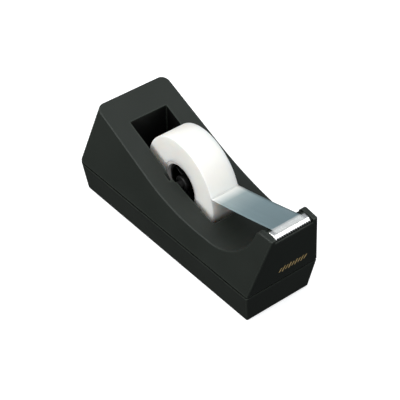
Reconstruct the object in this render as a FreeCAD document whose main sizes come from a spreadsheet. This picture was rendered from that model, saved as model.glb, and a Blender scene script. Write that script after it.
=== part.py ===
import FreeCAD, Part
import os
import Sketcher

# Desktop tape dispenser. +Z is up, the blade end faces -Y, and the origin lies on the table under the
# middle of the housing. All lengths are in millimetres; leans and drafts are slopes.

DIMENSIONS = {
    # housing, measured at the parting groove between the two shells
    "overall_length": 157.5,
    "body_height": 65.0,
    "seam_height": 22.0,
    "seam_front_width": 49.5,
    "seam_rear_width": 67.5,
    "groove_height": 1.6,
    "side_draft": 0.207,
    "front_lean": 0.19,
    "rear_lean": 0.238,
    "shell_wall": 2.2,
    "front_corner_radius": 0.8,
    "rear_corner_radius": 5.0,
    "ear_radius": 3.0,
    "deck_edge_radius": 0.6,
    "lip_radius": 0.7,
    # deck: a slope, a long sweep, a short level stretch and a tight sweep up to the head
    "deck_low_height": 37.4,
    "deck_slope": 20.5,
    "deck_rear_radius": 130.0,
    "deck_front_radius": 31.0,
    "deck_flat_rear": 27.2,
    "deck_flat_front": 36.3,
    # tape well
    "well_side_gap": 3.3,
    "well_wall": 2.0,
    "well_rear_gap": 43.0,
    "well_front_gap": 35.3,
    "well_floor_height": 6.0,
    "well_floor_wall": 1.8,
    "well_corner_radius": 24.0,
    # tape
    "roll_centre_y": 8.4,
    "roll_centre_z": 38.75,
    "roll_radius": 29.95,
    "tape_width": 19.0,
    "core_inner_radius": 12.7,
    "core_wall": 2.0,
    "core_recess": 0.5,
    "film_thickness": 0.3,
    "film_clearance": 0.4,
    "film_lift": 0.05,
    "film_gap": 1.5,
    "peel_angle": 17.2,
    # hub and its slots
    "hub_fit": 0.02,
    "hub_rim_wall": 1.6,
    "hub_recess": 2.6,
    "hub_web": 2.4,
    "hub_boss_radius": 5.0,
    "hub_boss_recess": 0.8,
    "axle_radius": 2.4,
    "axle_clearance": 0.06,
    "axle_hold": 2.2,
    "shoulder_gap": 1.9,
    "tab_thickness": 2.4,
    "tab_length": 4.4,
    "slot_slope": 45.0,
    "slot_clearance": 0.1,
    "slot_run": 26.0,
    "cradle_wall": 2.0,
    "cradle_length": 14.0,
    "cheek_side_gap": 2.6,
    "cheek_front_gap": 23.0,
    "cheek_rear_gap": 0.0,
    "cheek_depth": 9.0,
    # base
    "base_wall": 2.4,
    "base_side_inset": 3.1,
    "base_front_inset": 2.7,
    "base_rear_inset": 0.4,
    "rim_thickness": 1.6,
    "rim_height": 3.6,
    "rim_clearance": 0.15,
    "rim_headroom": 0.5,
    "ledge_height": 3.0,
    "ledge_bite": 1.9,
    # weight, pad and screws
    "weight_clearance": 0.6,
    "weight_headroom": 0.6,
    "pad_thickness": 1.5,
    "pad_proud": 0.8,
    "pad_margin": 2.0,
    "pad_clearance": 0.1,
    "pad_corner_radius": 2.5,
    "post_radius": 4.6,
    "post_cap": 6.0,
    "post_front_inset": 12.0,
    "post_rear_inset": 12.0,
    "post_side_gap": 1.25,
    "screw_radius": 1.45,
    "pilot_radius": 1.3,
    "screw_head_radius": 2.8,
    "screw_head_height": 2.0,
    "screw_engagement": 8.0,
    "screw_clearance": 0.25,
    "boss_cap": 3.0,
    # blade and head
    "blade_overhang": 2.5,
    "blade_thickness": 0.5,
    "blade_rise": 0.2,
    "blade_clearance": 0.05,
    "blade_setback": 0.75,
    "flange_depth": 3.5,
    "flange_wall": 0.9,
    "landing_length": 3.4,
    "band_drop": 1.6,
    "band_reach": 2.9,
    "tooth_pitch": 1.5,
    "tooth_depth": 1.0,
    "tooth_flat": 0.01,
    "seat_share": 0.667,
    "head_side_gap": 0.7,
    "head_depth": 10.0,
    "lip_drop": 2.7,
}

STRAIGHTNESS = 1.0001
UPRIGHT = 0.8
LEVEL = 0.01

DOC = FreeCAD.newDocument("tape_dispenser")

# Faces of the housing, written as expressions of the sheet. A face's place depends on the height z.
SEAM_FRONT = "(dims.front_lean * (dims.body_height - dims.seam_height) - dims.overall_length / 2)"
TAPER = f"((dims.seam_rear_width - dims.seam_front_width) / 2 / (dims.overall_length / 2 - {SEAM_FRONT}))"
UPPER_BOTTOM = "(dims.seam_height + dims.groove_height / 2)"
BASE_TOP = "(dims.seam_height - dims.groove_height / 2)"
FLOOR_TOP = "(dims.pad_proud + dims.base_wall)"
LEDGE_BOTTOM = f"({BASE_TOP} - dims.ledge_height)"
RIM_TOP = f"({BASE_TOP} + dims.rim_height)"
RIM_INSET = "(dims.shell_wall + dims.rim_clearance)"
ABOVE_ALL = "(dims.body_height + dims.deck_front_radius)"
WELL_FRONT = "(dims.roll_centre_y - dims.well_front_gap)"
WELL_REAR = "(dims.roll_centre_y + dims.well_rear_gap)"
SCREW_SEAT = "(dims.seam_height - dims.post_cap)"
WELL_WIDTH = "(dims.tape_width + 2 * dims.well_side_gap)"
AXLE_REACH = f"({WELL_WIDTH} / 2 + dims.axle_hold)"
AXLE_SHOULDER = "(dims.tape_width / 2 - dims.hub_boss_recess + dims.shoulder_gap)"
BLADE_WIDTH = "(dims.tape_width + 2 * dims.blade_overhang)"
HEAD_TAPER = f"({TAPER} * (dims.overall_length / 2 + {SEAM_FRONT}))"
HEAD_DRAFT = "(dims.side_draft * (dims.body_height - dims.seam_height))"
HEAD_HALF = f"(dims.seam_front_width / 2 - {HEAD_TAPER} - {HEAD_DRAFT})"
EAR_WALL = f"({HEAD_HALF} - {BLADE_WIDTH} / 2 - dims.head_side_gap)"
POST_INSET = f"({RIM_INSET} + dims.rim_thickness + dims.post_side_gap + dims.post_radius)"
BLOCK_WIDTH = "(2 * dims.seam_rear_width)"
BEYOND = "(3 * dims.overall_length)"


def fill_sheet():
    """Put every driving dimension in a spreadsheet cell of its own, with its alias."""
    sheet = DOC.addObject("Spreadsheet::Sheet", "dims")
    for row, (name, value) in enumerate(DIMENSIONS.items(), start=1):
        sheet.set(f"A{row}", name)
        sheet.set(f"B{row}", str(value))
        sheet.setAlias(f"B{row}", name)
    DOC.recompute()
    return sheet


SHEET = fill_sheet()


def number(expression):
    """Value of a sheet expression, used to place sketch geometry before its constraints hold it."""
    value = SHEET.evalExpression(str(expression))
    return float(getattr(value, "Value", value))


def new_body(name):
    body = DOC.addObject("PartDesign::Body", name)
    body.Label = name
    return body


def new_sketch(body, name, role, offset=None):
    """Sketch on one of the body's own origin planes, moved along the plane's normal by an expression."""
    plane = next(item for item in body.Origin.OriginFeatures if item.Role == role)
    sketch = body.newObject("Sketcher::SketchObject", name)
    sketch.AttachmentSupport = (plane, [""])
    sketch.MapMode = "FlatFace"
    if offset is not None:
        sketch.setExpression("AttachmentOffset.Base.z", str(offset))
    return sketch


def hold(sketch, kind, place, expression):
    """Add one dimensional constraint and bind it to an expression."""
    index = sketch.addConstraint(Sketcher.Constraint(kind, *place, number(expression)))
    name = f"{kind}_{index}"
    sketch.renameConstraint(index, name)
    sketch.setExpression(f"Constraints.{name}", str(expression))


def hold_point(sketch, edge, end, point):
    hold(sketch, "DistanceX", (-1, 1, edge, end), point[0])
    hold(sketch, "DistanceY", (-1, 1, edge, end), point[1])


def arc_between(start, end, radius):
    """Arc from start to end. A positive radius has its centre on the left of the way from start to end."""
    chord = end - start
    middle = (start + end) * 0.5
    left = FreeCAD.Vector(-chord.y, chord.x, 0).normalize()
    rise = (radius ** 2 - (chord.Length / 2) ** 2) ** 0.5
    centre = middle + left * (rise if radius > 0 else -rise)
    first, last = (start, end) if radius > 0 else (end, start)
    angles = []
    for point in (first, last):
        side = 1 if point.y >= centre.y else -1
        angles.append(side * FreeCAD.Vector(1, 0, 0).getAngle(point - centre))
    return Part.ArcOfCircle(Part.Circle(centre, FreeCAD.Vector(0, 0, 1), abs(radius)), *angles)


def add_outline(sketch, corners):
    """Closed outline. Each corner is (u, v) or (u, v, radius): a radius makes the next side an arc."""
    points = [FreeCAD.Vector(number(c[0]), number(c[1]), 0) for c in corners]
    ends = []
    for index, corner in enumerate(corners):
        start, end = points[index], points[(index + 1) % len(points)]
        if len(corner) == 2:
            edge = sketch.addGeometry(Part.LineSegment(start, end))
            ends.append((edge, 1, 2))
        else:
            radius = number(corner[2])
            edge = sketch.addGeometry(arc_between(start, end, radius))
            ends.append((edge, 1, 2) if radius > 0 else (edge, 2, 1))
            size = corner[2] if radius > 0 else f"-1 * ({corner[2]})"
            hold(sketch, "Radius", (edge,), size)
    for index, corner in enumerate(corners):
        before = ends[index - 1]
        edge, first, _ = ends[index]
        sketch.addConstraint(Sketcher.Constraint("Coincident", before[0], before[2], edge, first))
        hold_point(sketch, edge, first, corner)


def add_circle(sketch, centre, radius):
    place = FreeCAD.Vector(number(centre[0]), number(centre[1]), 0)
    edge = sketch.addGeometry(Part.Circle(place, FreeCAD.Vector(0, 0, 1), number(radius)))
    hold(sketch, "Radius", (edge,), radius)
    hold_point(sketch, edge, 3, centre)


def add_feature(body, kind, name, profile, length, symmetric=False, turned=False):
    """Pad a sketch up along its normal or pocket it down against its normal, or the other way if turned."""
    feature = body.newObject(f"PartDesign::{kind}", name)
    feature.Profile = profile
    feature.setExpression("Length", str(length))
    feature.Midplane = symmetric
    feature.Reversed = turned
    volume = feature.BaseFeature.Shape.Volume if feature.BaseFeature else 0
    DOC.recompute()
    changed = feature.Shape.Volume - volume
    if (changed <= 0) == (kind == "Pad"):
        raise ValueError(f"{name} changed nothing")
    return feature


def add_mirror(body, feature):
    """Repeat a feature on the other side of the middle plane."""
    mirror = body.newObject("PartDesign::Mirrored", f"{feature.Name}_mirror")
    mirror.Originals = [feature]
    plane = next(item for item in body.Origin.OriginFeatures if item.Role == "YZ_Plane")
    mirror.MirrorPlane = (plane, [""])
    body.Tip = mirror
    DOC.recompute()


def cut_side(body, sketch, name):
    add_mirror(body, add_feature(body, "Pocket", name, sketch, BEYOND, symmetric=True))


def side_sketch(body, name, slope):
    """Region outside the left wall, drawn on an upright plane square to the wall's line in plan."""
    sketch = new_sketch(body, name, "XZ_Plane")
    sketch.AttachmentOffset = FreeCAD.Placement(FreeCAD.Vector(), FreeCAD.Rotation(FreeCAD.Vector(0, 1, 0), -1))
    sketch.setExpression("AttachmentOffset.Rotation.Angle", f"-1 * atan({TAPER})")
    middle = f"({half_width('0')} * cos(atan({TAPER})))"
    corners = []
    for z in ("0", ABOVE_ALL):
        corners.append((f"({middle} - cos(atan({TAPER})) * {slope} * ({z} - dims.seam_height))", z))
    far = "dims.overall_length"
    add_outline(sketch, [corners[0], (far, "0"), (far, ABOVE_ALL), corners[1]])
    return sketch


def add_fillet(body, name, radius, choose):
    """Round the edges of the tip that the chooser returns, by their numbers."""
    base = body.Tip
    fillet = body.newObject("PartDesign::Fillet", name)
    fillet.Base = (base, [f"Edge{number}" for number in choose(base.Shape)])
    fillet.setExpression("Radius", str(radius))
    DOC.recompute()


def end_corners(rear, above=0):
    """Chooser of the two outermost upright edges at the rear or front end, above a height."""
    def choose(shape):
        found = []
        for index, edge in enumerate(shape.Edges, start=1):
            way = edge.Vertexes[-1].Point - edge.Vertexes[0].Point
            straight = edge.Length < way.Length * STRAIGHTNESS
            if straight and abs(way.z) > UPRIGHT * way.Length and edge.BoundBox.ZMin > above - LEVEL:
                found.append((edge.CenterOfMass.y, index))
        return [index for _, index in sorted(found, reverse=rear)[:2]]
    return choose


def upper_front(z, inset="0"):
    return f"({SEAM_FRONT} - dims.front_lean * ({z} - dims.seam_height) + {inset})"


def upper_rear(z, inset="0"):
    return f"(dims.overall_length / 2 - dims.rear_lean * ({z} - dims.seam_height) - {inset})"


def upper_side_view():
    return [(upper_front(UPPER_BOTTOM), UPPER_BOTTOM), (upper_rear(UPPER_BOTTOM), UPPER_BOTTOM),
            (upper_rear("dims.body_height"), "dims.body_height"),
            (upper_front("dims.body_height"), "dims.body_height")]


def rim_outline(inset):
    """Plan of the base's rim: clear of the leaning walls of the upper housing all the way up."""
    side = f"(dims.side_draft * ({RIM_TOP} - dims.seam_height) + {inset})"
    return plan_outline(upper_front(UPPER_BOTTOM, inset), upper_rear(RIM_TOP, inset), side)


def base_outline(z, inset="0"):
    """Plan outline of the base at height z: its walls close in towards the table."""
    share = f"((dims.seam_height - {z}) / (dims.seam_height - dims.pad_proud))"
    front = f"({SEAM_FRONT} + dims.base_front_inset * {share} + {inset})"
    rear = f"(dims.overall_length / 2 - dims.base_rear_inset * {share} - {inset})"
    return plan_outline(front, rear, f"(dims.base_side_inset * {share} + {inset})")


def base_side_view():
    foot = base_outline("dims.pad_proud")
    crown = base_outline(BASE_TOP)
    return [(foot[0][1], "dims.pad_proud"), (foot[2][1], "dims.pad_proud"), (crown[2][1], BASE_TOP),
            (crown[0][1], BASE_TOP)]


def half_width(y):
    return f"(dims.seam_front_width / 2 + {TAPER} * ({y} - {SEAM_FRONT}))"


def plan_outline(front, rear, side_inset):
    near = f"({half_width(front)} - {side_inset})"
    far = f"({half_width(rear)} - {side_inset})"
    return [(f"-1 * {near}", front), (near, front), (far, rear), (f"-1 * {far}", rear)]


def plan_sketch(body, name, z, outline):
    sketch = new_sketch(body, name, "XY_Plane", z)
    add_outline(sketch, outline)
    return sketch


def rectangle(left, right, low, high):
    return [(left, low), (right, low), (right, high), (left, high)]


def side_rectangles(sketch, inner, outer, front, rear):
    """The same rectangle on the left and on the right."""
    add_outline(sketch, rectangle(inner, outer, front, rear))
    add_outline(sketch, rectangle(f"-1 * ({outer})", f"-1 * ({inner})", front, rear))


def post_places():
    """Axes of the four screw posts: one pair near the front, one near the rear."""
    front = f"({SEAM_FRONT} + dims.post_front_inset)"
    rear = "(dims.overall_length / 2 - dims.post_rear_inset)"
    places = []
    for y in (front, rear):
        x = f"({half_width(y)} - {POST_INSET})"
        places += [(x, y), (f"-1 * {x}", y)]
    return places


def side_walls(shape):
    """The two large flat walls, left and right."""
    flat = [face for face in shape.Faces if isinstance(face.Surface, Part.Plane)]
    steep = [face for face in flat if abs(face.normalAt(0, 0).x) > UPRIGHT]
    outer = [face for face in steep if face.normalAt(0, 0).x * face.CenterOfMass.x > 0]
    return sorted(outer, key=lambda face: face.Area, reverse=True)[:2]


def top_outline(shape):
    """Chooser of the outer edges that run round the top: along both walls, the ears and the rear."""
    low = number("dims.deck_low_height") - LEVEL
    walls = [edge for face in side_walls(shape) for edge in face.OuterWire.Edges]
    found = []
    for index, edge in enumerate(shape.Edges, start=1):
        way = edge.Vertexes[-1].Point - edge.Vertexes[0].Point
        upright = edge.Length < way.Length * STRAIGHTNESS and abs(way.z) > UPRIGHT * way.Length
        level = edge.BoundBox.ZLength < LEVEL and abs(edge.CenterOfMass.x) < LEVEL
        crest = level and edge.CenterOfMass.y > number(WELL_REAR) and edge.BoundBox.ZMin > number(
            "dims.body_height - dims.shell_wall")
        on_wall = any(edge.isSame(other) for other in walls) and edge.BoundBox.ZMin > low and not upright
        if on_wall or crest:
            found.append(index)
    return found


def ear_backs(shape):
    """Chooser of the level edge where the front sweep of the deck meets the top of the head."""
    height = number("dims.body_height")
    front = number("-1 * dims.overall_length / 2")
    found = []
    for index, edge in enumerate(shape.Edges, start=1):
        middle = edge.CenterOfMass
        level = edge.BoundBox.ZLength < LEVEL and edge.BoundBox.YLength < LEVEL
        if level and abs(middle.z - height) < LEVEL and front + LEVEL < middle.y < 0:
            found.append(index)
    return found


def lip(shape):
    """Chooser of the level edge of the front face below the blade."""
    height = number("dims.body_height - dims.lip_drop")
    found = []
    for index, edge in enumerate(shape.Edges, start=1):
        middle = edge.CenterOfMass
        if edge.BoundBox.ZLength < LEVEL and abs(middle.z - height) < LEVEL and abs(middle.x) < LEVEL:
            found.append((middle.y, index))
    return [min(found)[1]]


def deck_outline():
    """Everything above the deck, seen from the side."""
    low = "dims.deck_low_height"
    slope = "(dims.deck_slope * 1deg)"
    sweep_end = f"(dims.deck_rear_radius * sin({slope}) - dims.deck_flat_rear)"
    sweep_top = f"({low} + dims.deck_rear_radius * (1 - cos({slope})))"
    far = f"({sweep_end} + ({ABOVE_ALL} - {sweep_top}) / tan({slope}))"
    head = "(-1 * dims.deck_flat_front - dims.deck_front_radius)"
    return [
        ("-1 * dims.deck_flat_rear", low, "dims.deck_rear_radius"),
        (sweep_end, sweep_top),
        (far, ABOVE_ALL),
        (head, ABOVE_ALL),
        (head, f"({low} + dims.deck_front_radius)", "dims.deck_front_radius"),
        ("-1 * dims.deck_flat_front", low),
    ]


def well_outline(wall, floor):
    """Side view of the tape well, grown outward by a wall: an open box with big round lower corners."""
    front = f"({WELL_FRONT} - {wall})"
    rear = f"({WELL_REAR} + {wall})"
    bottom = f"(dims.well_floor_height - {floor})"
    radius = f"(dims.well_corner_radius + {wall})"
    return [
        (front, ABOVE_ALL),
        (front, f"({bottom} + {radius})", radius),
        (f"({front} + {radius})", bottom),
        (f"({rear} - {radius})", bottom, radius),
        (rear, f"({bottom} + {radius})"),
        (rear, ABOVE_ALL),
    ]


def slot_outline(back, reach, half):
    """A bar along the slots' slope, from behind the roll's axis to a reach above it."""
    slope = "(dims.slot_slope * 1deg)"
    corners = []
    for along, across in ((f"-1 * {back}", -1), (reach, -1), (reach, 1), (f"-1 * {back}", 1)):
        side = f"({across} * ({half}))"
        y = f"(dims.roll_centre_y + ({along}) * cos({slope}) + {side} * sin({slope}))"
        z = f"(dims.roll_centre_z + ({along}) * sin({slope}) - {side} * cos({slope}))"
        corners.append((y, z))
    return corners


def make_upper_housing():
    body = new_body("upper_housing")
    block = new_sketch(body, "upper_line", "YZ_Plane")
    add_outline(block, upper_side_view())
    add_feature(body, "Pad", "upper_block", block, BLOCK_WIDTH, symmetric=True)
    sides = side_sketch(body, "upper_side_line", "dims.side_draft")
    cut_side(body, sides, "upper_side")
    add_fillet(body, "rear_corners", "dims.rear_corner_radius", end_corners(rear=True))
    deck = new_sketch(body, "deck_line", "YZ_Plane")
    add_outline(deck, deck_outline())
    add_feature(body, "Pocket", "deck_cut", deck, BEYOND, symmetric=True)
    hollow(body, "upper_shell", "dims.shell_wall", top=False)
    add_fillet(body, "front_corners", f"min(dims.front_corner_radius; {EAR_WALL} / 2)",
               end_corners(rear=False))
    add_inside(body)
    cut_side(body, sides, "side_trim")
    add_feature(body, "Pocket", "deck_trim", deck, BEYOND, symmetric=True)
    cut_slots(body)
    add_fillet(body, "ear_corners", "dims.ear_radius", ear_backs)
    cut_head(body)
    add_fillet(body, "deck_edge", f"min(dims.deck_edge_radius; {EAR_WALL} / 3)", top_outline)
    add_fillet(body, "front_lip", "dims.lip_radius", lip)
    return body


def hollow(body, name, wall, top):
    """Open a block at its top or bottom face and leave one wall all round."""
    base = body.Tip
    heights = [face.CenterOfMass.z for face in base.Shape.Faces]
    opened = heights.index(max(heights) if top else min(heights)) + 1
    shell = body.newObject("PartDesign::Thickness", name)
    shell.Base = (base, [f"Face{opened}"])
    shell.setExpression("Value", wall)
    shell.Reversed = True
    shell.Mode = "Skin"
    shell.Join = "Arc"
    DOC.recompute()


def add_inside(body):
    """Well, slot cradles, cheeks, solid head and screw bosses, all cut off later at the deck."""
    outer = new_sketch(body, "well_outside", "YZ_Plane")
    add_outline(outer, well_outline("dims.well_wall", "dims.well_floor_wall"))
    add_feature(body, "Pad", "well_block", outer, f"{WELL_WIDTH} + 2 * dims.well_wall", symmetric=True)

    cradle_low = "(dims.roll_centre_z - dims.tab_length - dims.cradle_wall)"
    cradle = new_sketch(body, "cradle_plan", "XY_Plane", cradle_low)
    side_rectangles(cradle, f"{WELL_WIDTH} / 2", f"({AXLE_REACH} + dims.slot_clearance + dims.cradle_wall)",
                    "(dims.roll_centre_y - dims.tab_length)", "(dims.roll_centre_y + dims.cradle_length)")
    add_feature(body, "Pad", "cradles", cradle, f"{ABOVE_ALL} - {cradle_low}")

    inner = new_sketch(body, "well_inside", "YZ_Plane")
    add_outline(inner, well_outline("0", "0"))
    add_feature(body, "Pocket", "well", inner, WELL_WIDTH, symmetric=True)

    cheek_low = "(dims.roll_centre_z - dims.cheek_depth)"
    cheek = new_sketch(body, "cheek_plan", "XY_Plane", cheek_low)
    side_rectangles(cheek, "(dims.tape_width / 2 + dims.cheek_side_gap)",
                    f"({WELL_WIDTH} / 2 + dims.well_wall / 2)",
                    "(dims.roll_centre_y - dims.cheek_front_gap)", "(dims.roll_centre_y + dims.cheek_rear_gap)")
    add_feature(body, "Pad", "cheeks", cheek, f"{ABOVE_ALL} - {cheek_low}")

    head = new_sketch(body, "head_line", "YZ_Plane")
    low = "(dims.body_height - dims.head_depth)"
    behind = "(-1 * dims.deck_flat_front - dims.deck_front_radius / 2)"
    inset = "(dims.shell_wall / 2)"
    add_outline(head, [(behind, low), (upper_front(low, inset), low),
                       (upper_front("dims.body_height", inset), "dims.body_height"),
                       (behind, "dims.body_height")])
    add_feature(body, "Pad", "head_core", head, "dims.seam_front_width", symmetric=True)

    bosses = new_sketch(body, "boss_plan", "XY_Plane", "dims.seam_height")
    top = "(dims.seam_height + dims.screw_engagement + dims.boss_cap)"
    over_rim = f"({RIM_TOP} + dims.rim_headroom)"
    webs = new_sketch(body, "web_plan", "XY_Plane", over_rim)
    for x, y in post_places()[::2]:
        front, rear = f"({y} - dims.post_radius)", f"({y} + dims.post_radius)"
        side_rectangles(bosses, f"({x} - dims.post_radius)", f"({x} + dims.post_radius)", front, rear)
        side_rectangles(webs, x, f"({x} + {POST_INSET})", front, rear)
    add_feature(body, "Pad", "screw_webs", webs, f"{top} - {over_rim}")
    add_feature(body, "Pad", "screw_bosses", bosses, f"{top} - dims.seam_height")
    pilots = new_sketch(body, "pilot_plan", "XY_Plane", "dims.seam_height")
    for place in post_places():
        add_circle(pilots, place, "dims.pilot_radius")
    add_feature(body, "Pocket", "pilot_holes", pilots, "dims.screw_engagement + dims.boss_cap / 2",
                turned=True)


def cut_slots(body):
    sketch = new_sketch(body, "slot_line", "YZ_Plane")
    clear = "dims.slot_clearance"
    add_outline(sketch, slot_outline(f"(dims.tab_length / 2 + {clear})", "dims.slot_run",
                                     f"(dims.tab_thickness / 2 + {clear})"))
    add_feature(body, "Pocket", "axle_slots", sketch, f"2 * ({AXLE_REACH} + {clear})", symmetric=True)


def seat_line():
    """Where the blade lies on the head: (rear y, bend y, front y) and (landing z, lip z)."""
    front = "(-1 * dims.overall_length / 2 + dims.blade_setback)"
    bend = f"({front} + dims.band_reach)"
    rear = f"({bend} + dims.landing_length)"
    return rear, bend, front


def film_start():
    """Where the free tape leaves the winding."""
    reach = "(dims.roll_radius + dims.film_clearance)"
    return (f"(dims.roll_centre_y - {reach} * cos(dims.peel_angle * 1deg))",
            f"(dims.roll_centre_z + {reach} * sin(dims.peel_angle * 1deg))")


def film_height(y):
    """Height of the free tape's lower face on its straight way from the winding to the blade."""
    rear, _, _ = seat_line()
    start_y, start_z = film_start()
    top = "(dims.body_height + dims.blade_rise + dims.film_lift)"
    return f"({top} + ({start_z} - {top}) * ({y} - {rear}) / ({start_y} - {rear}))"


def cut_head(body):
    rear, bend, front = seat_line()
    seat = "(dims.body_height + dims.blade_rise - dims.blade_thickness)"
    lip_height = "(dims.body_height - dims.lip_drop)"
    far = "(-1 * dims.overall_length / 2 - dims.head_depth)"
    behind = "(-1 * dims.deck_flat_front - dims.deck_front_radius / 2)"
    gap = "dims.blade_thickness / 2"
    lip_rear = f"({front} + dims.band_reach * (1 - dims.seat_share) + {gap})"
    wall = f"({rear} + dims.flange_wall)"
    sketch = new_sketch(body, "blade_seat_line", "YZ_Plane")
    add_outline(sketch, [(behind, f"({film_height(behind)} - dims.film_gap)"),
                         (wall, f"({film_height(wall)} - dims.film_gap)"), (wall, seat),
                         (f"({bend} + {gap})", seat),
                         (lip_rear, f"({seat} - dims.band_drop * dims.seat_share)"),
                         (lip_rear, lip_height), (far, lip_height),
                         (far, ABOVE_ALL), (behind, ABOVE_ALL)])
    add_feature(body, "Pocket", "blade_seat", sketch, f"{BLADE_WIDTH} + 2 * dims.head_side_gap",
                symmetric=True)
    clear = "dims.blade_clearance"
    slot = new_sketch(body, "flange_slot_line", "YZ_Plane")
    low = f"({seat} - dims.flange_depth - {clear})"
    add_outline(slot, rectangle(f"({rear} - dims.blade_thickness - {clear})", f"({rear} + {clear})", low,
                                ABOVE_ALL))
    add_feature(body, "Pocket", "flange_slot", slot, f"{BLADE_WIDTH} + 2 * {clear}", symmetric=True)


def make_base_shell():
    body = new_body("base_shell")
    block = new_sketch(body, "base_line", "YZ_Plane")
    add_outline(block, base_side_view())
    add_feature(body, "Pad", "base_block", block, BLOCK_WIDTH, symmetric=True)
    flare = "(-1 * dims.base_side_inset / (dims.seam_height - dims.pad_proud))"
    cut_side(body, side_sketch(body, "base_side_line", flare), "base_side")
    add_fillet(body, "base_rear_corners", "dims.rear_corner_radius", end_corners(rear=True))
    hollow(body, "base_tray", "dims.base_wall", top=True)
    add_fillet(body, "base_front_corners", "dims.front_corner_radius", end_corners(rear=False))

    ledge = new_sketch(body, "ledge_plan", "XY_Plane", LEDGE_BOTTOM)
    add_outline(ledge, base_outline(LEDGE_BOTTOM, "dims.ledge_bite"))
    add_outline(ledge, rim_outline(f"({RIM_INSET} + dims.rim_thickness)"))
    add_feature(body, "Pad", "ledge", ledge, "dims.ledge_height")
    rim = new_sketch(body, "rim_plan", "XY_Plane", LEDGE_BOTTOM)
    add_outline(rim, rim_outline(RIM_INSET))
    add_outline(rim, rim_outline(f"({RIM_INSET} + dims.rim_thickness)"))
    add_feature(body, "Pad", "rim", rim, f"{RIM_TOP} - {LEDGE_BOTTOM}")
    add_fillet(body, "rim_corners", f"dims.rear_corner_radius - {RIM_INSET}",
               end_corners(rear=True, above=number(BASE_TOP)))

    posts = new_sketch(body, "post_plan", "XY_Plane", FLOOR_TOP)
    for place in post_places():
        add_circle(posts, place, "dims.post_radius")
    add_feature(body, "Pad", "posts", posts, f"dims.seam_height - {FLOOR_TOP}")
    recess = plan_sketch(body, "pad_recess_plan", "dims.pad_thickness",
                         base_outline("dims.pad_proud", "(dims.pad_margin - dims.pad_clearance)"))
    add_feature(body, "Pocket", "pad_recess", recess, "dims.pad_thickness")
    for name, height, radius in (("screw_wells", SCREW_SEAT, "(dims.screw_head_radius + dims.screw_clearance)"),
                                 ("screw_holes", "dims.seam_height",
                                  "(dims.screw_radius + dims.screw_clearance)")):
        plan = new_sketch(body, f"{name}_plan", "XY_Plane", height)
        for place in post_places():
            add_circle(plan, place, radius)
        add_feature(body, "Pocket", name, plan, height)
    return body


def make_nonslip_pad():
    body = new_body("nonslip_pad")
    sketch = new_sketch(body, "pad_plan", "XY_Plane")
    add_outline(sketch, base_outline("dims.pad_proud", "dims.pad_margin"))
    add_feature(body, "Pad", "pad_sheet", sketch, "dims.pad_thickness")
    add_fillet(body, "pad_rear_corners", "dims.pad_corner_radius", end_corners(rear=True))
    add_fillet(body, "pad_front_corners", "dims.pad_corner_radius", end_corners(rear=False))
    return body


def make_ballast():
    """Cast weight: a ring that lies on the base floor around the well, with holes for the screw posts."""
    body = new_body("ballast_weight")
    gap = "dims.weight_clearance"
    height = f"({LEDGE_BOTTOM} - dims.weight_headroom - {FLOOR_TOP})"
    sketch = plan_sketch(body, "ballast_plan", FLOOR_TOP, base_outline(FLOOR_TOP, f"(dims.base_wall + {gap})"))
    add_feature(body, "Pad", "ballast_block", sketch, height)
    add_fillet(body, "ballast_rear_corners", "dims.pad_corner_radius", end_corners(rear=True))
    add_fillet(body, "ballast_front_corners", "dims.pad_corner_radius", end_corners(rear=False))
    side = f"({WELL_WIDTH} / 2 + dims.well_wall + {gap})"
    hole = new_sketch(body, "ballast_hole_plan", "XY_Plane", f"{FLOOR_TOP} + {height}")
    add_outline(hole, rectangle(f"-1 * {side}", side, f"({WELL_FRONT} - dims.well_wall - {gap})",
                                f"({WELL_REAR} + dims.well_wall + {gap})"))
    for place in post_places():
        add_circle(hole, place, f"(dims.post_radius + {gap})")
    add_feature(body, "Pocket", "ballast_holes", hole, height)
    return body


def make_blade():
    """Steel strip: a flange let into the head, a landing for the tape, and a toothed band in front."""
    body = new_body("cutter_blade")
    rear, bend, front = seat_line()
    thick = "dims.blade_thickness"
    top = "(dims.body_height + dims.blade_rise)"
    drop = "dims.band_drop"
    sketch = new_sketch(body, "blade_line", "YZ_Plane")
    add_outline(sketch, [(rear, top), (bend, top), (front, f"({top} - {drop})"),
                         (f"({front} + {thick} / 4)", f"({top} - {drop} - {thick})"),
                         (f"({bend} + {thick} / 4)", f"({top} - {thick})"),
                         (f"({rear} - {thick})", f"({top} - {thick})"),
                         (f"({rear} - {thick})", f"({top} - {thick} - dims.flange_depth)"),
                         (rear, f"({top} - {thick} - dims.flange_depth)")])
    add_feature(body, "Pad", "blade_strip", sketch, BLADE_WIDTH, symmetric=True)
    notches = new_sketch(body, "tooth_plan", "XY_Plane", top)
    start = f"(-1 * {BLADE_WIDTH} / 2)"
    add_outline(notches, [(start, f"({front} - dims.tooth_depth)"), (start, f"({front} + dims.tooth_flat)"),
                          (f"({start} + dims.tooth_pitch / 2)", f"({front} + dims.tooth_depth)"),
                          (f"({start} + dims.tooth_pitch)", f"({front} + dims.tooth_flat)"),
                          (f"({start} + dims.tooth_pitch)", f"({front} - dims.tooth_depth)")])
    notch = add_feature(body, "Pocket", "tooth_notch", notches, f"{drop} + 2 * {thick}")
    teeth = body.newObject("PartDesign::LinearPattern", "teeth")
    teeth.Originals = [notch]
    teeth.Direction = (notches, ["H_Axis"])
    count = f"floor({BLADE_WIDTH} / dims.tooth_pitch)"
    teeth.setExpression("Length", f"({count} - 1) * dims.tooth_pitch")
    teeth.setExpression("Occurrences", count)
    body.Tip = teeth
    DOC.recompute()
    return body


def add_ring(body, name, outer, inner, length):
    """Ring about the roll's axis, the same distance to both sides of the middle."""
    sketch = new_sketch(body, f"{name}_line", "YZ_Plane")
    centre = ("dims.roll_centre_y", "dims.roll_centre_z")
    add_circle(sketch, centre, outer)
    if inner is not None:
        add_circle(sketch, centre, inner)
    add_feature(body, "Pad", name, sketch, length, symmetric=True)


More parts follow.
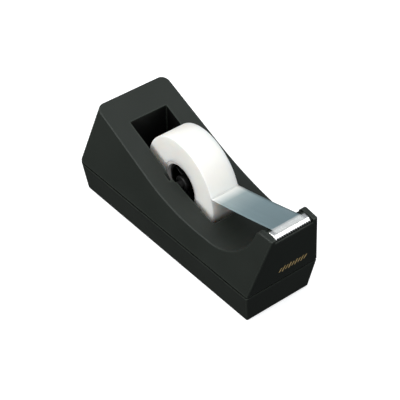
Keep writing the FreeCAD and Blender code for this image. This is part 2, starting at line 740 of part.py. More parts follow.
def make_axle():
    """Round axle with a flat tab at each end that keeps it from turning in its slots."""
    body = new_body("hub_axle")
    add_ring(body, "axle_bar", "dims.axle_radius", None, f"2 * {AXLE_SHOULDER}")
    sketch = new_sketch(body, "tab_line", "YZ_Plane", AXLE_SHOULDER)
    add_outline(sketch, slot_outline("(dims.tab_length / 2)", "(dims.tab_length / 2)",
                                     "(dims.tab_thickness / 2)"))
    tab = add_feature(body, "Pad", "tab", sketch, f"{AXLE_REACH} - {AXLE_SHOULDER}")
    add_mirror(body, tab)
    return body


def make_hub():
    """Wheel that carries the core: rim, web and bearing."""
    body = new_body("tape_hub")
    rim = "(dims.core_inner_radius - dims.hub_fit)"
    bore = "(dims.axle_radius + dims.axle_clearance)"
    width = "(dims.tape_width - 2 * dims.hub_recess)"
    add_ring(body, "hub_web", rim, bore, "dims.hub_web")
    add_ring(body, "hub_rim", rim, f"({rim} - dims.hub_rim_wall)", width)
    add_ring(body, "hub_boss", "dims.hub_boss_radius", bore, "(dims.tape_width - 2 * dims.hub_boss_recess)")
    return body


def make_core():
    body = new_body("tape_core")
    add_ring(body, "core_ring", "(dims.core_inner_radius + dims.core_wall)", "dims.core_inner_radius",
             "dims.tape_width - 2 * dims.core_recess")
    return body


def make_roll():
    body = new_body("tape_roll")
    add_ring(body, "winding", "dims.roll_radius", "(dims.core_inner_radius + dims.core_wall)",
             "dims.tape_width")
    return body


def make_strip():
    """Free end of the tape: straight from the winding up to the blade, then flat on its landing."""
    body = new_body("tape_strip")
    rear, bend, _ = seat_line()
    start = film_start()
    top = "(dims.body_height + dims.blade_rise + dims.film_lift)"
    lower = [start, (rear, top), (bend, top)]
    upper = [(y, f"({z} + dims.film_thickness)") for y, z in reversed(lower)]
    sketch = new_sketch(body, "film_line", "YZ_Plane")
    add_outline(sketch, lower + upper)
    add_feature(body, "Pad", "film", sketch, "dims.tape_width", symmetric=True)
    return body


def make_screws():
    """Four self-tapping screws that hold the shells together from below, heads deep in the base."""
    body = new_body("housing_screws")
    body.AllowCompound = True
    for name, radius, low, high in (
            ("heads", "dims.screw_head_radius", f"({SCREW_SEAT} - dims.screw_head_height)", SCREW_SEAT),
            ("shanks", "dims.screw_radius", SCREW_SEAT, "(dims.seam_height + dims.screw_engagement)")):
        sketch = new_sketch(body, f"{name}_plan", "XY_Plane", low)
        for place in post_places():
            add_circle(sketch, place, radius)
        add_feature(body, "Pad", name, sketch, f"{high} - {low}")
    return body


def check_document():
    """Stop if any object failed, or if a sub-part has no valid shape."""
    DOC.recompute()
    for item in DOC.Objects:
        if {"Invalid", "Error"} & set(item.State):
            raise RuntimeError(f"{item.Name} failed: {item.State}")
    for body in BODIES:
        if body.Shape.isNull() or not body.Shape.isValid():
            raise RuntimeError(f"{body.Label} has no valid shape")


def write_parts():
    os.makedirs("parts", exist_ok=True)
    for body in BODIES:
        body.Shape.exportStep(f"parts/{body.Label}.step")
        box = body.Shape.BoundBox
        print(f"{body.Label}: {len(body.Shape.Solids)} solid(s), {body.Shape.Volume:.0f} mm3,"
              f" {box.XLength:.1f} x {box.YLength:.1f} x {box.ZLength:.1f}")


BODIES = [
    make_upper_housing(),
    make_base_shell(),
    make_ballast(),
    make_nonslip_pad(),
    make_screws(),
    make_blade(),
    make_axle(),
    make_hub(),
    make_core(),
    make_roll(),
    make_strip(),
]
check_document()
write_parts()
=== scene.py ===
import bmesh
import bpy
import math
import random
from mathutils import Matrix, Vector


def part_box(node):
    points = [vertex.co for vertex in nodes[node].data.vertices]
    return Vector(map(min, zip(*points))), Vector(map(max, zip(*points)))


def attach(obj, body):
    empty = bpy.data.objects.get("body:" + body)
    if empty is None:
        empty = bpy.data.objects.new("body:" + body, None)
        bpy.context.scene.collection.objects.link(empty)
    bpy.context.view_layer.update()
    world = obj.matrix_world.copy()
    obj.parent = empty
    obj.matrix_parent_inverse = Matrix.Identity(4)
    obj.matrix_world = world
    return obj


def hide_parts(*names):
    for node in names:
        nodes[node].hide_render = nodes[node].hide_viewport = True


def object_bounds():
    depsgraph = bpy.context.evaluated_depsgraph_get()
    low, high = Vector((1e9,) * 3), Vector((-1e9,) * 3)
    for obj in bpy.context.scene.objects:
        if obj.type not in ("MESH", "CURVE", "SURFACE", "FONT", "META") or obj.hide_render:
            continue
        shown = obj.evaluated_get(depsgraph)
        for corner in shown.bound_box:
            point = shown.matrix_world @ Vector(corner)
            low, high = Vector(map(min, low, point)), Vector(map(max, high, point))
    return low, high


# Looks of a desktop tape dispenser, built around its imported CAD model. Metres; +Z up, the blade end faces -Y.

MM = 0.001
FULL_TURN = 2 * math.pi
SMOOTH_BELOW = 35

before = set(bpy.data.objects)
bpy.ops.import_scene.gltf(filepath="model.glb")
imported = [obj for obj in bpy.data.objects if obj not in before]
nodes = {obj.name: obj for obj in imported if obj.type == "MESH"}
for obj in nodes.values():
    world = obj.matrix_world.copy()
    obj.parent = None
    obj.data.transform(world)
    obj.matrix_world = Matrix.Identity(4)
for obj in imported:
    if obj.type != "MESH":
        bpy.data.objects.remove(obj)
cad_low, cad_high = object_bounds()
scene = bpy.context.scene


# ---------------------------------------------------------------- mesh helpers

def place_mesh(name, mesh, smooth_angle):
    """Smooth the faces that meet below an angle in degrees, and put the mesh in the scene."""
    mesh.shade_smooth()
    mesh.set_sharp_from_angle(angle=math.radians(smooth_angle))
    piece = bpy.data.objects.new(name, mesh)
    scene.collection.objects.link(piece)
    return piece


def mesh_piece(name, verts, faces, smooth_angle=SMOOTH_BELOW):
    """New object from points and faces, with every face pointing outward."""
    mesh = bpy.data.meshes.new(name)
    mesh.from_pydata(verts, [], faces)
    work = bmesh.new()
    work.from_mesh(mesh)
    bmesh.ops.recalc_face_normals(work, faces=work.faces)
    work.to_mesh(mesh)
    work.free()
    return place_mesh(name, mesh, smooth_angle)


def ring_faces(count, turns, closed):
    """Quads that join each loop of points to the next one; closed joins the last loop to the first."""
    faces = []
    for turn in range(turns if closed else turns - 1):
        here, there = turn * count, (turn + 1) % turns * count
        for index in range(count):
            other = (index + 1) % count
            faces.append((here + index, here + other, there + other, there + index))
    return faces


def sheet_faces(columns, count):
    """Quads between neighbouring columns of points."""
    faces = []
    for column in range(columns - 1):
        for index in range(count - 1):
            here = column * count + index
            faces.append((here, here + 1, here + count + 1, here + count))
    return faces


def lathe(name, profile, centre, steps, smooth_angle=SMOOTH_BELOW):
    """Turn a closed profile of (x, radius) round the roll's axis."""
    verts = []
    for step in range(steps):
        angle = FULL_TURN * step / steps
        for x, radius in profile:
            verts.append((x, centre[0] + radius * math.cos(angle), centre[1] + radius * math.sin(angle)))
    return mesh_piece(name, verts, ring_faces(len(profile), steps, True), smooth_angle)


def arc(centre, start, end, steps):
    """Points on the short arc round a centre from start to end."""
    first, last = start - centre, end - centre
    begin = math.atan2(first.y, first.x)
    sweep = math.remainder(math.atan2(last.y, last.x) - begin, FULL_TURN)
    points = []
    for step in range(steps + 1):
        angle = begin + sweep * step / steps
        points.append(centre + Vector((math.cos(angle), math.sin(angle))) * first.length)
    return points


def rounded(corners, steps=4):
    """Round the corners of a closed outline: each corner is (u, v, radius)."""
    points = []
    for index, (u, v, radius) in enumerate(corners):
        here = Vector((u, v))
        before = Vector(corners[index - 1][:2])
        after = Vector(corners[(index + 1) % len(corners)][:2])
        if radius == 0:
            points.append(tuple(here))
            continue
        one, two = (before - here).normalized(), (after - here).normalized()
        half = one.angle(two) / 2
        centre = here + (one + two).normalized() * (radius / math.sin(half))
        reach = radius / math.tan(half)
        points += [tuple(point) for point in arc(centre, here + one * reach, here + two * reach, steps)]
    return points


def extrude_x(name, outline, x_low, x_high, smooth_angle=SMOOTH_BELOW):
    """Prism along X of a closed (y, z) outline."""
    verts = [(x, y, z) for x in (x_low, x_high) for y, z in outline]
    count = len(outline)
    faces = ring_faces(count, 2, False)
    faces += [tuple(range(count)), tuple(range(2 * count - 1, count - 1, -1))]
    return mesh_piece(name, verts, faces, smooth_angle)


def join_pieces(name, pieces):
    """One object from several meshes, with no operators."""
    work = bmesh.new()
    for piece in pieces:
        work.from_mesh(piece.data)
        bpy.data.objects.remove(piece)
    mesh = bpy.data.meshes.new(name)
    work.to_mesh(mesh)
    work.free()
    return place_mesh(name, mesh, SMOOTH_BELOW)


def bevel(piece, width, angle=SMOOTH_BELOW, segments=2):
    """Narrow bevel along the edges that turn by more than an angle in degrees."""
    modifier = piece.modifiers.new("edges", "BEVEL")
    modifier.width = width
    modifier.segments = segments
    modifier.limit_method = "ANGLE"
    modifier.angle_limit = math.radians(angle)


def thicken(piece, thickness, offset, even=False):
    """Give a sheet its gauge: offset -1 grows it inward, 0 to both sides."""
    modifier = piece.modifiers.new("gauge", "SOLIDIFY")
    modifier.thickness = thickness
    modifier.offset = offset
    modifier.use_even_offset = even


# ---------------------------------------------------------------- materials

class Shader:
    """A node tree with one Principled shader and short calls for the nodes that feed it."""

    def __init__(self, name, **sockets):
        self.material = bpy.data.materials.new(name)
        self.material.use_nodes = True
        self.tree = self.material.node_tree
        self.surface = self.tree.nodes["Principled BSDF"]
        for socket, value in sockets.items():
            self.surface.inputs[socket.replace("_", " ")].default_value = value
        self.place = self.tree.nodes.new("ShaderNodeTexCoord").outputs["Object"]

    def node(self, kind, links=None, **settings):
        """New node; links gives each socket another node's output or a plain value."""
        made = self.tree.nodes.new(kind)
        for key, value in settings.items():
            setattr(made, key, value)
        for socket, source in (links or {}).items():
            if hasattr(source, "is_output"):
                self.tree.links.new(source, made.inputs[socket])
            else:
                made.inputs[socket].default_value = source
        return made

    def stretched(self, scale):
        """Object coordinates scaled by axis, for marks that run one way."""
        return self.node("ShaderNodeMapping", {"Vector": self.place, "Scale": scale}).outputs["Vector"]

    def noise(self, scale, detail=3.0, roughness=0.5, place=None):
        """Noise over the object, with the scale in features per metre."""
        links = {"Vector": place or self.place, "Scale": scale, "Detail": detail, "Roughness": roughness}
        return self.node("ShaderNodeTexNoise", links).outputs["Fac"]

    def ramp(self, factor, stops):
        """Colours, or grey values, blended along a factor."""
        made = self.node("ShaderNodeValToRGB", {"Fac": factor})
        elements = made.color_ramp.elements
        while len(elements) < len(stops):
            elements.new(0.5)
        for element, (position, colour) in zip(elements, stops):
            element.position = position
            element.color = (*colour, 1) if isinstance(colour, tuple) else (colour, colour, colour, 1)
        return made.outputs["Color"]

    def feed(self, socket, source):
        """Link an output to one of the Principled shader's sockets."""
        self.tree.links.new(source, self.surface.inputs[socket])

    def multiply(self, colour, other):
        """One colour shaded by another."""
        mixed = self.node("ShaderNodeMix", data_type="RGBA", blend_type="MULTIPLY")
        mixed.inputs["Factor"].default_value = 1.0
        self.tree.links.new(colour, mixed.inputs["A"])
        self.tree.links.new(other, mixed.inputs["B"])
        return mixed.outputs["Result"]

    def blend(self, colour, other, share):
        """A colour that turns into a plain one by a share that varies over the surface."""
        mixed = self.node("ShaderNodeMix", data_type="RGBA")
        self.tree.links.new(share, mixed.inputs["Factor"])
        self.tree.links.new(colour, mixed.inputs["A"])
        mixed.inputs["B"].default_value = (*other, 1)
        return mixed.outputs["Result"]

    def bump(self, layers):
        """Stack of (height, strength, depth in metres)."""
        normal = None
        for height, strength, depth in layers:
            links = {"Height": height, "Strength": strength, "Distance": depth}
            if normal:
                links["Normal"] = normal
            normal = self.node("ShaderNodeBump", links).outputs["Normal"]
        self.feed("Normal", normal)


# Painted highlight along the rounded edges: how far in it reaches, how much lighter than the plastic it is, and
# its roughness.
EDGE_HIGHLIGHT_REACH = 1.6 * MM
EDGE_HIGHLIGHT_GAIN = 2.2
EDGE_HIGHLIGHT_ROUGHNESS = 0.30


def moulded(name, dark, light, rough, grain, specular, relief, reach, alone):
    """Moulded plastic: fine spark-eroded grain, slow random changes of tone, a painted highlight with lower
    roughness along the edges, painted shade in recesses.

    Recesses narrower than the reach are painted dark as shade; alone leaves other pieces out of that.
    """
    shader = Shader(name, Specular_IOR_Level=specular)
    slow = shader.noise(22.0, 2.0)
    fine = shader.noise(grain, 2.0, 0.6)
    marks = shader.noise(90.0, 6.0, 0.75, shader.stretched((1.0, 0.35, 1.0)))
    # Painted shade: ambient occlusion darkens the base colour in recesses, creases and seams.
    recess = shader.node("ShaderNodeAmbientOcclusion", {"Distance": reach}, only_local=alone)
    shade = shader.ramp(recess.outputs["AO"], [(0.72, 0.01), (0.95, 1.0)])
    # Painted highlight: where the bevel normal turns away from the face normal, the colour goes lighter and
    # glossier along the edge.
    rounded_way = shader.node("ShaderNodeBevel", {"Radius": EDGE_HIGHLIGHT_REACH}).outputs["Normal"]
    own_way = shader.node("ShaderNodeNewGeometry").outputs["Normal"]
    turn = shader.node("ShaderNodeVectorMath", {0: rounded_way, 1: own_way}, operation="DOT_PRODUCT")
    wear_and_edge_highlight = shader.ramp(turn.outputs["Value"], [(0.86, 1.0), (0.975, 0.0)])
    plain = shader.multiply(shader.ramp(slow, [(0.3, dark), (0.7, light)]), shade)
    shader.feed("Base Color", shader.blend(plain, tuple(EDGE_HIGHLIGHT_GAIN * part for part in light), wear_and_edge_highlight))
    gloss = shader.node("ShaderNodeMath", {0: marks, 1: slow}, operation="MULTIPLY").outputs["Value"]
    satin = shader.ramp(gloss, [(0.1, rough - 0.05), (0.5, rough + 0.07)])
    shader.feed("Roughness", shader.blend(satin, (EDGE_HIGHLIGHT_ROUGHNESS,) * 3, wear_and_edge_highlight))
    shader.bump([(fine, relief, 0.00008), (slow, 0.04, 0.0006)])
    return shader.material


def frosted_winding():
    """Wound frosted film: warm white, faintly banded where the layers lie."""
    shader = Shader("winding_frosted", Specular_IOR_Level=0.35, Subsurface_Weight=0.75,
                    Subsurface_Scale=0.008, Subsurface_Radius=(1.0, 0.86, 0.74))
    layers = shader.noise(900.0, 2.0, 0.6, shader.stretched((1.0, 0.02, 0.02)))
    slow = shader.noise(60.0, 3.0)
    shader.feed("Base Color", shader.ramp(slow, [(0.3, (0.82, 0.81, 0.77)), (0.7, (0.86, 0.85, 0.81))]))
    shader.feed("Roughness", shader.ramp(slow, [(0.3, 0.42), (0.7, 0.52)]))
    shader.bump([(layers, 0.08, 0.00005), (slow, 0.05, 0.0004)])
    return shader.material


def translucent_film(front, rear):
    """One layer of frosted film, milky blue-grey, with painted light: nearly white at the blade and the roll,
    and lighter towards the roll.
    """
    shader = Shader("film_frosted", Specular_IOR_Level=0.45)
    streaks = shader.noise(260.0, 4.0, 0.6, shader.stretched((1.0, 0.06, 0.06)))
    grain = shader.noise(2600.0, 2.0)
    split = shader.node("ShaderNodeSeparateXYZ", {"Vector": shader.place})
    links = {"Value": split.outputs["Y"], "From Min": front, "From Max": rear}
    along = shader.node("ShaderNodeMapRange", links).outputs["Result"]
    # Painted light: the colour whitens where the film lies at the blade and the roll, and lightens along its
    # length towards the roll.
    tint_with_painted_light = shader.ramp(along, [(0.0, (0.80, 0.81, 0.80)), (0.06, (0.72, 0.75, 0.75)),
                               (0.08, (0.155, 0.215, 0.235)), (0.55, (0.19, 0.26, 0.28)),
                               (0.84, (0.29, 0.36, 0.37)), (1.0, (0.82, 0.82, 0.79))])
    body = shader.ramp(along, [(0.0, 0.36), (0.06, 0.36), (0.08, 0.88), (0.84, 0.86), (1.0, 0.90)])
    streaky = shader.ramp(streaks, [(0.3, 0.92), (0.7, 1.0)])
    shader.feed("Base Color", shader.multiply(tint_with_painted_light, streaky))
    shader.feed("Alpha", body)
    shader.feed("Roughness", shader.ramp(grain, [(0.3, 0.34), (0.7, 0.46)]))
    shader.bump([(grain, 0.06, 0.00003), (streaks, 0.05, 0.0002)])
    return shader.material


def pale_core():
    """Moulded core: pale, slightly translucent plastic."""
    shader = Shader("core_pale", Specular_IOR_Level=0.4, Subsurface_Weight=0.2, Subsurface_Scale=0.002,
                    Subsurface_Radius=(1.0, 0.7, 0.55))
    slow = shader.noise(120.0, 3.0)
    fine = shader.noise(1500.0, 2.0)
    shader.feed("Base Color", shader.ramp(slow, [(0.3, (0.56, 0.53, 0.51)), (0.7, (0.66, 0.63, 0.61))]))
    shader.feed("Roughness", shader.ramp(fine, [(0.3, 0.36), (0.7, 0.5)]))
    shader.bump([(fine, 0.08, 0.00005)])
    return shader.material


def rolled_steel():
    """Bright rolled strip: fine lines along the blade's length and a few dull patches."""
    shader = Shader("blade_steel", Metallic=1.0)
    lines = shader.noise(900.0, 4.0, 0.65, shader.stretched((0.04, 1.0, 1.0)))
    patches = shader.noise(170.0, 3.0)
    shader.feed("Base Color", shader.ramp(patches, [(0.3, (0.88, 0.88, 0.86)), (0.7, (0.95, 0.95, 0.93))]))
    shader.feed("Roughness", shader.ramp(lines, [(0.3, 0.22), (0.7, 0.36)]))
    shader.bump([(lines, 0.12, 0.00003)])
    return shader.material


def gold_foil():
    """Stamped foil with small spots of wear."""
    shader = Shader("mark_gold", Metallic=0.25)
    wear_and_edge_highlight = shader.noise(700.0, 4.0, 0.7)
    shader.feed("Base Color", shader.ramp(wear_and_edge_highlight, [(0.35, (0.50, 0.33, 0.10)), (0.65, (0.95, 0.72, 0.36))]))
    shader.feed("Roughness", shader.ramp(wear_and_edge_highlight, [(0.3, 0.32), (0.7, 0.55)]))
    shader.bump([(wear_and_edge_highlight, 0.1, 0.00002)])
    return shader.material


def foam_rubber():
    """Closed-cell foam: small pits all over."""
    shader = Shader("pad_foam", Specular_IOR_Level=0.2)
    cells = shader.node("ShaderNodeTexVoronoi", {"Vector": shader.place, "Scale": 1400.0}).outputs["Distance"]
    slow = shader.noise(70.0, 3.0)
    shader.feed("Base Color", shader.ramp(slow, [(0.3, (0.018, 0.018, 0.019)), (0.7, (0.03, 0.03, 0.031))]))
    shader.feed("Roughness", shader.ramp(cells, [(0.2, 0.95), (0.7, 0.8)]))
    shader.bump([(cells, 0.5, 0.00025)])
    return shader.material


def cast_weight():
    """Rough cast metal, dark and uneven."""
    shader = Shader("ballast_cast", Metallic=0.7)
    rough = shader.noise(500.0, 5.0, 0.7)
    slow = shader.noise(40.0, 3.0)
    shader.feed("Base Color", shader.ramp(slow, [(0.3, (0.12, 0.115, 0.11)), (0.7, (0.2, 0.19, 0.18))]))
    shader.feed("Roughness", shader.ramp(rough, [(0.3, 0.55), (0.7, 0.8)]))
    shader.bump([(rough, 0.4, 0.0003)])
    return shader.material


def zinc():
    """Plated screws with small dull spots."""
    shader = Shader("screw_zinc", Metallic=1.0)
    spots = shader.noise(600.0, 4.0, 0.6)
    shader.feed("Base Color", shader.ramp(spots, [(0.3, (0.5, 0.51, 0.52)), (0.7, (0.64, 0.65, 0.66))]))
    shader.feed("Roughness", shader.ramp(spots, [(0.3, 0.3), (0.7, 0.48)]))
    shader.bump([(spots, 0.1, 0.00003)])
    return shader.material


def paint(piece, material):
    """Give a piece this material and no other."""
    piece.data.materials.clear()
    piece.data.materials.append(material)


# Each plastic gets painted shade in recesses within its reach and a painted highlight along its edges.
HOUSING = moulded("housing_satin", dark=(0.0140, 0.0172, 0.0143), light=(0.0175, 0.0212, 0.0178),
                  rough=0.50, grain=2400.0, specular=0.26, relief=0.35, reach=0.04, alone=True)
BASE = moulded("base_satin", dark=(0.0165, 0.0195, 0.0165), light=(0.0205, 0.0240, 0.0205),
               rough=0.53, grain=2000.0, specular=0.24, relief=0.4, reach=0.003, alone=False)
HUB = moulded("hub_satin", dark=(0.006, 0.006, 0.006), light=(0.010, 0.010, 0.010),
              rough=0.38, grain=1800.0, specular=0.4, relief=0.15, reach=0.01, alone=True)

paint(nodes["upper_housing"], HOUSING)
paint(nodes["base_shell"], BASE)
paint(nodes["nonslip_pad"], foam_rubber())
paint(nodes["ballast_weight"], cast_weight())
paint(nodes["housing_screws"], zinc())
paint(nodes["hub_axle"], HUB)


# ---------------------------------------------------------------- reel: winding, core, hub

roll_low, roll_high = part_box("tape_roll")
core_low, core_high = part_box("tape_core")
hub_low, hub_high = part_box("tape_hub")
CENTRE = ((roll_low.y + roll_high.y) / 2, (roll_low.z + roll_high.z) / 2)
ROLL_RADIUS = (roll_high.y - roll_low.y) / 2
CORE_RADIUS = (core_high.y - core_low.y) / 2
CORE_WALL = 2.0 * MM
SEAT_GAP = 0.02 * MM
HALF_TAPE = roll_high.x


def make_winding():
    """Wound film: side faces with fine uneven rings where single layers stand proud, and soft outer edges."""
    layer, stand_out, side_gap = 0.55 * MM, 0.07, 0.06 * MM
    uneven = random.Random(11)
    inner = CORE_RADIUS + SEAT_GAP
    edge, edge_steps = 0.35 * MM, 5
    half = HALF_TAPE - side_gap
    side = []
    count = int((ROLL_RADIUS - edge - inner) / layer)
    for index in range(count + 1):
        radius = inner + (ROLL_RADIUS - edge - inner) * index / count
        side.append((half - uneven.uniform(0.0, stand_out) * MM, radius))
    corner = []
    for step in range(1, edge_steps):
        angle = math.pi / 2 * step / edge_steps
        corner.append((half - edge + edge * math.cos(angle), ROLL_RADIUS - edge + edge * math.sin(angle)))
    right = side + corner + [(half - edge, ROLL_RADIUS)]
    left = [(-x, radius) for x, radius in reversed(right)]
    return lathe("winding", right + left, CENTRE, steps=200, smooth_angle=50)


def make_core():
    """Moulded core ring with chamfered lips."""
    lip = 0.3 * MM
    half = core_high.x
    outer, inner = CORE_RADIUS - SEAT_GAP, CORE_RADIUS - CORE_WALL
    profile = rounded([(half, outer, lip), (-half, outer, lip), (-half, inner, lip), (half, inner, lip)], 3)
    return lathe("core_ring", profile, CENTRE, steps=160)


def make_hub():
    """Wheel: rim with rounded lips, thin web with a ring step, bearing boss and radial ribs on both sides."""
    rim = (hub_high.y - hub_low.y) / 2
    long = hub_high.x
    rim_recess, rim_wall = 1.8 * MM, 1.6 * MM
    half, rim_inner = long - rim_recess, rim - rim_wall
    web, boss, bore = 1.2 * MM, 5.0 * MM, 2.46 * MM
    step, step_rise = 8.6 * MM, 0.5 * MM
    upper = [(half, rim, 0.35 * MM), (half, rim_inner, 0.35 * MM), (web, rim_inner, 0.5 * MM),
             (web, step, 0.2 * MM), (web + step_rise, step - step_rise, 0.2 * MM),
             (web + step_rise, boss, 0.5 * MM), (long, boss, 0.4 * MM), (long, bore, 0.3 * MM)]
    lower = [(-x, radius, round_) for x, radius, round_ in reversed(upper)]
    wheel = lathe("wheel", rounded(upper + lower, 3), CENTRE, steps=128)
    pieces = [wheel]
    ribs, first_rib = 6, 0.3
    rib_recess, rib_half, into_web, into_rim = 2.2 * MM, 0.55 * MM, 0.3 * MM, 0.2 * MM
    tall, sunk = half - rib_recess, web - into_web
    for index in range(ribs):
        angle = FULL_TURN * index / ribs + first_rib
        along = Vector((math.cos(angle), math.sin(angle)))
        across = Vector((-along.y, along.x)) * rib_half
        near, far = along * (boss - into_web), along * (rim_inner + into_rim)
        outline = [Vector(CENTRE) + p for p in (near - across, far - across, far + across, near + across)]
        for x_low, x_high in ((sunk, tall), (-tall, -sunk)):
            pieces.append(extrude_x("rib", [tuple(p) for p in outline], x_low, x_high))
    hub = join_pieces("hub_wheel", pieces)
    bevel(hub, width=0.12 * MM)
    return hub


winding = make_winding()
paint(winding, frosted_winding())
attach(winding, "reel")
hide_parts("tape_roll")

core = make_core()
paint(core, pale_core())
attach(core, "reel")
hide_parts("tape_core")

hub = make_hub()
paint(hub, HUB)
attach(hub, "reel")
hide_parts("tape_hub")


# ---------------------------------------------------------------- blade

blade_low, blade_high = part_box("cutter_blade")
strip_low, strip_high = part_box("tape_strip")
BLADE_TOP = blade_high.z
LANDING = 3.4 * MM
BLADE_GAUGE = 0.5 * MM
GAUGE_SHARE = 0.9
FLANGE = 3.5 * MM


def make_blade():
    """Pressed steel strip: flange, landing with a shallow bead, rounded bend and a toothed band."""
    front = blade_low.y
    bend = blade_high.y - BLADE_GAUGE - LANDING
    rear = blade_high.y
    band_drop = 1.6 * MM
    tooth = 1.0 * MM
    pitch = 1.5 * MM
    top = BLADE_TOP
    line = [(rear, top - BLADE_GAUGE - FLANGE), (rear, top - 0.45 * MM), (rear - 0.15 * MM, top - 0.12 * MM),
            (rear - 0.5 * MM, top)]
    slope = band_drop / (bend - front)
    line += [(bend + 0.55 * MM, top), (bend + 0.2 * MM, top - 0.03 * MM), (bend - 0.15 * MM, top - 0.12 * MM),
             (bend - 0.5 * MM, top - 0.5 * MM * slope - 0.03 * MM)]
    root = (front + tooth, top - band_drop + tooth * slope)
    line += [root]
    half = blade_high.x
    teeth = round(2 * half / pitch)
    columns = []
    for index in range(2 * teeth + 1):
        x = -half + index * pitch / 2
        reach = 1.0 if index % 2 else 0.0
        tip = (root[0] - tooth * reach, root[1] - tooth * reach * slope)
        columns.append([(x, y, z) for y, z in line + [tip if reach else (root[0] - 0.02 * MM, root[1])]])
    verts = [point for column in columns for point in column]
    piece = mesh_piece("blade_strip", verts, sheet_faces(len(columns), len(columns[0])),
                       smooth_angle=50)
    thicken(piece, BLADE_GAUGE * GAUGE_SHARE, offset=-1, even=True)
    return piece


blade = make_blade()
paint(blade, rolled_steel())
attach(blade, "housing")
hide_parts("cutter_blade")


# ---------------------------------------------------------------- free film

FILM_GAUGE = 0.06 * MM


def film_points(peel, curl, lift):
    """Side view of the free film: off the winding with a tight curl, up to the blade and over its landing.

    It leaves the winding at the angle peel, lies off it by lift, and curls with the radius curl.
    """
    below_top, deepest_sag, onto_landing = 0.25 * MM, 0.25 * MM, 1.6 * MM
    reach = ROLL_RADIUS + lift
    rear = Vector((blade_high.y, strip_high.z - below_top))
    outward = Vector((-math.cos(peel), math.sin(peel)))
    start = Vector(CENTRE) + outward * reach
    centre = start + outward * curl
    aim = (rear - start).normalized()
    settling_rounds, hold_steps, curl_steps, free_steps = 8, 4, 8, 24
    held_angle = math.radians(3)
    for _ in range(settling_rounds):
        leave = centre + Vector((aim.y, -aim.x)) * curl
        aim = (rear - leave).normalized()
    points = []
    for step in range(hold_steps):
        angle = peel + held_angle * (1 - step / hold_steps)
        points.append(Vector(CENTRE) + Vector((-math.cos(angle), math.sin(angle))) * reach)
    points += arc(centre, start, leave, curl_steps)
    for step in range(1, free_steps):
        share = step / free_steps
        sag = deepest_sag * math.sin(math.pi * share)
        points.append(leave.lerp(rear, share) - Vector((0, sag)))
    points += [rear, rear - Vector((onto_landing, 0)),
               Vector((blade_high.y - BLADE_GAUGE - LANDING, rear.y))]
    return points


def make_film():
    """Free end of the tape: a thin sheet from the winding to the blade."""
    half = strip_high.x
    line = film_points(peel=math.radians(17.2), curl=0.8 * MM, lift=0.12 * MM)
    columns = 12
    verts = []
    for column in range(columns + 1):
        x = -half + 2 * half * column / columns
        for y, z in line:
            verts.append((x, y, z))
    piece = mesh_piece("film_strip", verts, sheet_faces(columns + 1, len(line)), smooth_angle=60)
    thicken(piece, FILM_GAUGE, offset=0)
    return piece


film = make_film()
paint(film, translucent_film(strip_low.y, strip_high.y))
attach(film, "axle_carrier")
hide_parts("tape_strip")


# ---------------------------------------------------------------- printed mark

def make_mark():
    """Generic gold foil mark on the front face: a row of slanted bars."""
    middle_x, middle_z = 5.3 * MM, 32.4 * MM
    before = Vector((middle_x, 2 * cad_low.y, middle_z))
    _, middle, outward, _ = nodes["upper_housing"].ray_cast(before, Vector((0, 1, 0)))
    down = outward.cross(Vector((1, 0, 0))).normalized()
    down = down if down.z < 0 else -down
    verts, faces = [], []
    bars, spacing, half_width, slant = 9, 2.15, 0.48, 0.55
    long_half, short_half = 2.3, 1.7
    sunk, proud = 0.02 * MM, 0.03 * MM
    for index in range(bars):
        shift = (index - (bars - 1) / 2) * spacing * MM
        tall = (long_half if index % 2 else short_half) * MM
        for side, height in ((-1, -1), (1, -1), (1, 1), (-1, 1)):
            across = shift + side * half_width * MM + height * slant * MM
            foot = middle + Vector((across, 0, 0)) - down * (height * tall)
            verts.append(foot - outward * sunk)
            verts.append(foot + outward * proud)
        at = 8 * index
        low, high = [at, at + 2, at + 4, at + 6], [at + 1, at + 3, at + 5, at + 7]
        faces += [tuple(low), tuple(reversed(high))]
        faces += [(low[i], low[(i + 1) % 4], high[(i + 1) % 4], high[i]) for i in range(4)]
    return mesh_piece("front_mark", [tuple(v) for v in verts], faces)


mark = make_mark()
paint(mark, gold_foil())
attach(mark, "housing")


# ---------------------------------------------------------------- stage, light, camera

def make_floor():
    """Plain pale floor just below the pad, left out of reflections and of bounced light."""
    shader = Shader("floor_pale", Roughness=0.9, Specular_IOR_Level=0.1, Emission_Color=(1, 1, 1, 1),
                    Emission_Strength=0.55)
    slow = shader.noise(3.0, 2.0)
    shader.feed("Base Color", shader.ramp(slow, [(0.3, (0.70, 0.70, 0.70)), (0.7, (0.73, 0.73, 0.73))]))
    size, below_pad = 3.0, 0.3 * MM
    corners = ((-size, -size), (size, -size), (size, size), (-size, size))
    floor = mesh_piece("floor", [(x, y, -below_pad) for x, y in corners], [(0, 1, 2, 3)])
    paint(floor, shader.material)
    floor.visible_glossy = False
    floor.visible_diffuse = False


def make_world():
    """Even studio light, brighter overhead than round the horizon."""
    world = bpy.data.worlds.new("studio")
    world.use_nodes = True
    tree = world.node_tree
    place = tree.nodes.new("ShaderNodeTexCoord")
    split = tree.nodes.new("ShaderNodeSeparateXYZ")
    ramp = tree.nodes.new("ShaderNodeValToRGB")
    tree.links.new(place.outputs["Generated"], split.inputs["Vector"])
    tree.links.new(split.outputs["Z"], ramp.inputs["Fac"])
    low, high = ramp.color_ramp.elements
    low.position, low.color = 0.0, (0.05, 0.052, 0.055, 1)
    high.position, high.color = 0.95, (0.52, 0.55, 0.58, 1)
    tree.links.new(ramp.outputs["Color"], tree.nodes["Background"].inputs["Color"])
    tree.nodes["Background"].inputs["Strength"].default_value = 1.0
    scene.world = world


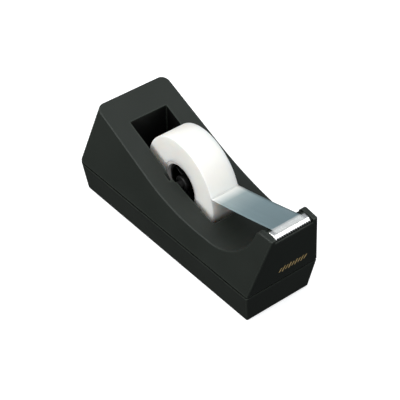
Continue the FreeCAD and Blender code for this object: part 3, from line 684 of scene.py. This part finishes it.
def area_light(name, place, aim, size, power, colour):
    """Rectangular lamp at a place, turned towards an aim."""
    data = bpy.data.lights.new(name, "AREA")
    data.shape = "RECTANGLE"
    data.size, data.size_y = size
    data.energy = power
    data.color = colour
    lamp = bpy.data.objects.new(name, data)
    lamp.location = place
    lamp.rotation_mode = "QUATERNION"
    lamp.rotation_quaternion = (Vector(aim) - Vector(place)).to_track_quat("-Z", "Y")
    scene.collection.objects.link(lamp)


def make_camera():
    """A long lens from the front left, well above the table."""
    azimuth, elevation, roll = math.radians(-36.659), math.radians(43.217), math.radians(-0.795)
    distance = 741.58 * MM
    target = Vector((0.255, 3.074, 25.385)) * MM
    back = Vector((math.sin(azimuth) * math.cos(elevation), -math.cos(azimuth) * math.cos(elevation),
                   math.sin(elevation)))
    level = Vector((math.cos(azimuth), math.sin(azimuth), 0))
    upright = back.cross(level)
    right = level * math.cos(roll) + upright * math.sin(roll)
    up = upright * math.cos(roll) - level * math.sin(roll)
    data = bpy.data.cameras.new("camera")
    data.lens, data.sensor_width = 117, 36
    data.clip_start, data.clip_end = 0.01, 20
    camera = bpy.data.objects.new("camera", data)
    turn = Matrix((right, up, back)).transposed().to_4x4()
    camera.matrix_world = Matrix.Translation(target + back * distance) @ turn
    scene.collection.objects.link(camera)
    scene.camera = camera


make_floor()
make_world()
area_light("key", (-0.45, 0.15, 1.0), (0, 0, 0.03), (1.2, 1.2), 6.6, (1.0, 0.985, 0.965))
area_light("side", (-0.98, 0.05, 0.38), (0, 0, 0.03), (0.25, 0.9), 4.4, (1.0, 0.99, 0.97))
area_light("edge", (-0.75, 0.42, 0.50), (0, 0, 0.05), (0.10, 0.10), 2.4, (0.96, 0.98, 1.0))
area_light("front", (-0.10, -0.90, 0.62), (0, 0, 0.04), (0.7, 0.5), 3.8, (0.97, 0.985, 1.0))
area_light("blade", (0.43, -0.27, 0.86), (0, -0.07, 0.06), (0.4, 0.4), 2.0, (1.0, 1.0, 0.99))
make_camera()
scene.view_settings.view_transform = "Standard"
